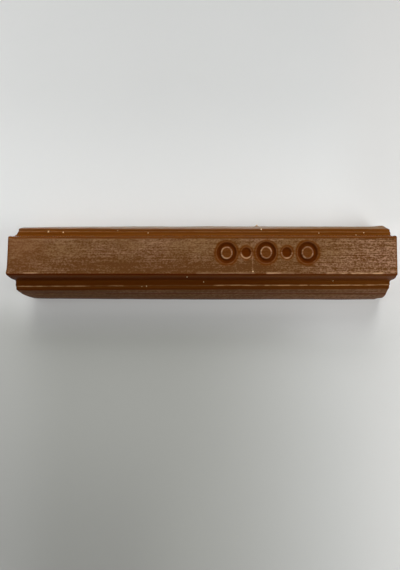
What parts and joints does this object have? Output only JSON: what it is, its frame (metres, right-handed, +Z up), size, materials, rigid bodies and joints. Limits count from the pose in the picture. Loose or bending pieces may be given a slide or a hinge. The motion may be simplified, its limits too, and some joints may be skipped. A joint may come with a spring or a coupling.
{
  "type": "furniture repair wax stick",
  "caption": "Solid bar of brown hard wax with a stepped section: a drafted ridge, a ledge with a fine rim on each side, and bulging flanks down to a flat base. For filling scratches in wood.",
  "frame": {"origin": "middle of the flat base that the bar rests on", "axes": "+X along the bar, +Z up from the base towards the ridge, +Y towards the long side away from the camera"},
  "size_m": [0.1, 0.0212, 0.0138],
  "materials": {
    "wax": "hard brown wax, scuffed matte on the top and flanks, glossier in the ledges"
  },
  "bodies": {
    "root": {"wax_bar": "wax"}
  },
  "joints": []
}
